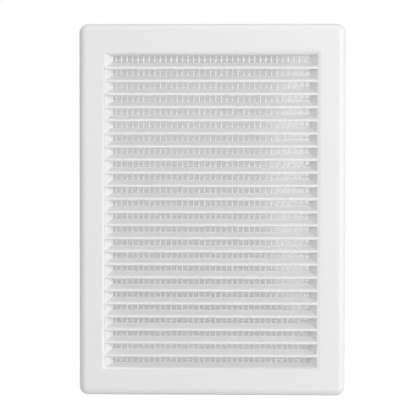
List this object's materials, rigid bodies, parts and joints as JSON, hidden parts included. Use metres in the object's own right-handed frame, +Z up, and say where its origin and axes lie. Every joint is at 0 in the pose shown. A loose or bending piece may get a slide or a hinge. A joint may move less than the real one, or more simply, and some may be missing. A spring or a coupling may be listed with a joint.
{
  "type": "louvred vent grille",
  "caption": "White rectangular wall vent grille with sloping louvres and an insect screen, clipped onto a screwed mounting frame.",
  "frame": {"origin": "middle of the four wall fixings, on the wall surface", "axes": "+X across the wall to the right as seen from the room, +Y into the wall, +Z up"},
  "size_m": [0.179, 0.0398, 0.25],
  "materials": {
    "white_cover": "satin moulded white",
    "white_inner": "moulded white, hidden side",
    "screen_net": "extruded white netting",
    "foam_seal": "closed-cell foam strip",
    "zinc_screw": "zinc plated",
    "washer_rubber": "moulded sealing rubber"
  },
  "bodies": {
    "wall_side": {"mounting_frame": "white_inner", "wall_seal": "foam_seal", "screw_upper_left": "zinc_screw", "screw_upper_right": "zinc_screw", "screw_lower_left": "zinc_screw", "screw_lower_right": "zinc_screw", "washer_upper_left": "washer_rubber", "washer_upper_right": "washer_rubber", "washer_lower_left": "washer_rubber", "washer_lower_right": "washer_rubber"},
    "front_cover": {"louvre_front": "white_cover", "insect_screen_uprights": "screen_net", "insect_screen_crossbars": "screen_net", "screen_retainer": "white_inner", "snap_arm_left_upper": "white_cover", "snap_arm_left_lower": "white_cover", "snap_arm_right_upper": "white_cover", "snap_arm_right_lower": "white_cover", "snap_arm_top": "white_cover", "snap_arm_bottom": "white_cover"}
  },
  "joints": [
    {"name": "front_pull_off", "type": "slide", "parent": "wall_side", "child": "front_cover", "axis": [0, -1, 0], "range_m": [0, 0.04], "deforming": ["snap_arm_left_upper", "snap_arm_left_lower", "snap_arm_right_upper", "snap_arm_right_lower", "snap_arm_top", "snap_arm_bottom"]}
  ]
}
